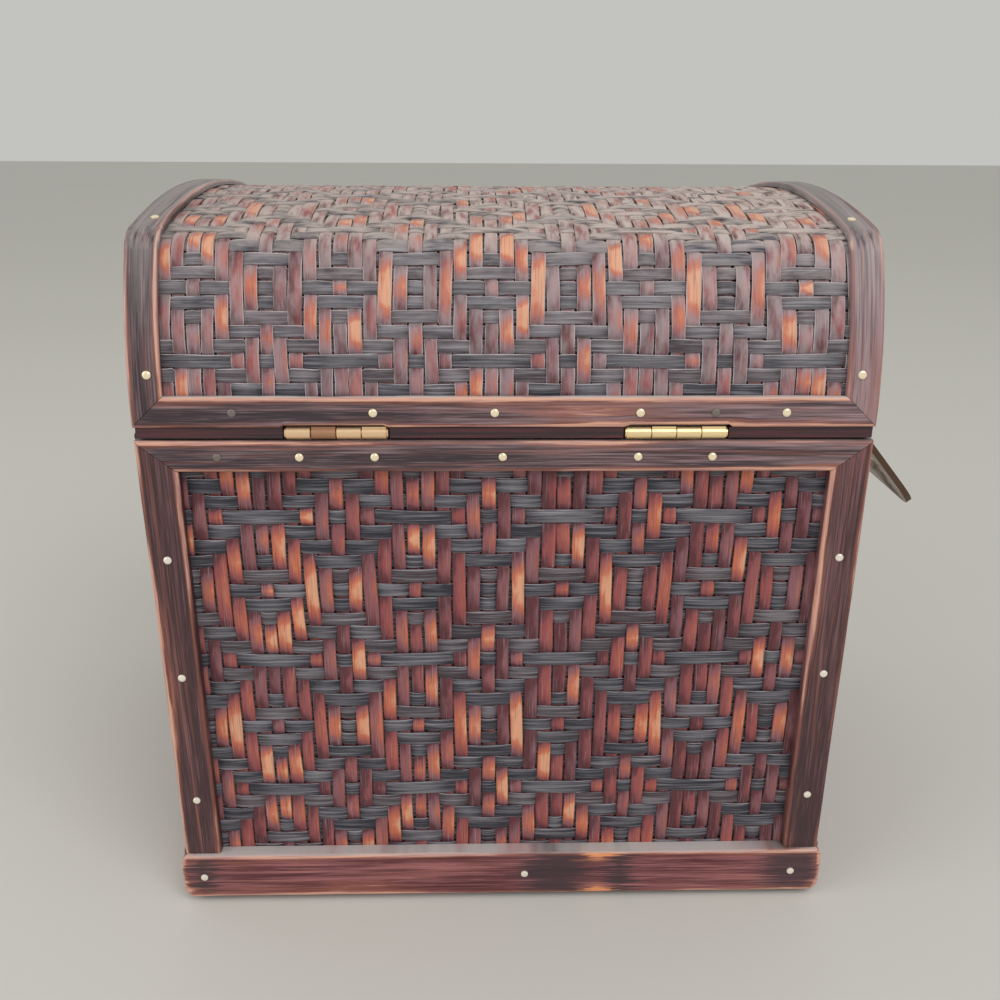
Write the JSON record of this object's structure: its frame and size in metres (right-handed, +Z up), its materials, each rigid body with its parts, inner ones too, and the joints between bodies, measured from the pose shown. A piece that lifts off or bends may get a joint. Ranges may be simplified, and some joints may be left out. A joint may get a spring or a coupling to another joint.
{
  "type": "woven bamboo trinket box",
  "caption": "Small woven bamboo chest with a loaf-shaped hinged lid, dark pinned bamboo slat trim, brass hinges and a drop handle on each end.",
  "frame": {"origin": "centre of the base board's underside, on the table", "axes": "+Z up, +Y towards the hinged back that the picture shows, -Y towards the front, +X to the right seen from the front"},
  "size_m": [0.2091, 0.1536, 0.1963],
  "materials": {
    "inner_board": "plain thin board, matt",
    "woven_bamboo": "stained and lacquered bamboo twill, red-brown over charcoal",
    "dark_bamboo_slat": "dark stained bamboo with worn orange edges, satin",
    "red_bamboo_rail": "red-brown stained bamboo, satin",
    "brass": "thin bright brass",
    "aged_brass": "aged brown brass, dull"
  },
  "bodies": {
    "body": {"base_board": "inner_board", "back_board": "inner_board", "front_board": "inner_board", "left_board": "inner_board", "right_board": "inner_board", "back_weave": "woven_bamboo", "front_weave": "woven_bamboo", "left_weave": "woven_bamboo", "right_weave": "woven_bamboo", "back_top_rail": "dark_bamboo_slat", "front_top_rail": "dark_bamboo_slat", "left_top_rail": "dark_bamboo_slat", "right_top_rail": "dark_bamboo_slat", "back_base_rail": "red_bamboo_rail", "front_base_rail": "red_bamboo_rail", "left_base_rail": "red_bamboo_rail", "right_base_rail": "red_bamboo_rail", "back_left_slat": "dark_bamboo_slat", "back_right_slat": "dark_bamboo_slat", "front_left_slat": "dark_bamboo_slat", "front_right_slat": "dark_bamboo_slat", "left_back_slat": "dark_bamboo_slat", "left_front_slat": "dark_bamboo_slat", "right_back_slat": "dark_bamboo_slat", "right_front_slat": "dark_bamboo_slat", "body_nails": "brass", "left_hinge_body_leaf": "brass", "right_hinge_body_leaf": "brass", "left_hinge_pin": "brass", "right_hinge_pin": "brass", "left_handle_brackets": "aged_brass", "right_handle_brackets": "aged_brass"},
    "lid": {"lid_shell": "inner_board", "lid_left_board": "inner_board", "lid_right_board": "inner_board", "lid_weave": "woven_bamboo", "lid_left_weave": "woven_bamboo", "lid_right_weave": "woven_bamboo", "lid_back_rail": "dark_bamboo_slat", "lid_front_rail": "dark_bamboo_slat", "lid_left_rail": "dark_bamboo_slat", "lid_right_rail": "dark_bamboo_slat", "lid_back_strip": "dark_bamboo_slat", "lid_front_strip": "dark_bamboo_slat", "lid_left_strip": "dark_bamboo_slat", "lid_right_strip": "dark_bamboo_slat", "lid_left_band": "dark_bamboo_slat", "lid_right_band": "dark_bamboo_slat", "lid_left_arch": "dark_bamboo_slat", "lid_right_arch": "dark_bamboo_slat", "lid_nails": "brass", "left_hinge_lid_leaf": "brass", "right_hinge_lid_leaf": "brass"},
    "left_handle": {"left_handle": "aged_brass"},
    "right_handle": {"right_handle": "aged_brass"}
  },
  "joints": [
    {"name": "lid_hinge", "type": "hinge", "parent": "body", "child": "lid", "pos_m": [0, 0.0735, 0.1412], "axis": [-1, 0, 0], "range_deg": [0, 100]},
    {"name": "left_handle_swing", "type": "hinge", "parent": "body", "child": "left_handle", "pos_m": [-0.0942, 0, 0.1359], "axis": [0, 1, 0], "range_deg": [-40, 130]},
    {"name": "right_handle_swing", "type": "hinge", "parent": "body", "child": "right_handle", "pos_m": [0.0942, 0, 0.1359], "axis": [0, -1, 0], "range_deg": [0, 170]}
  ]
}
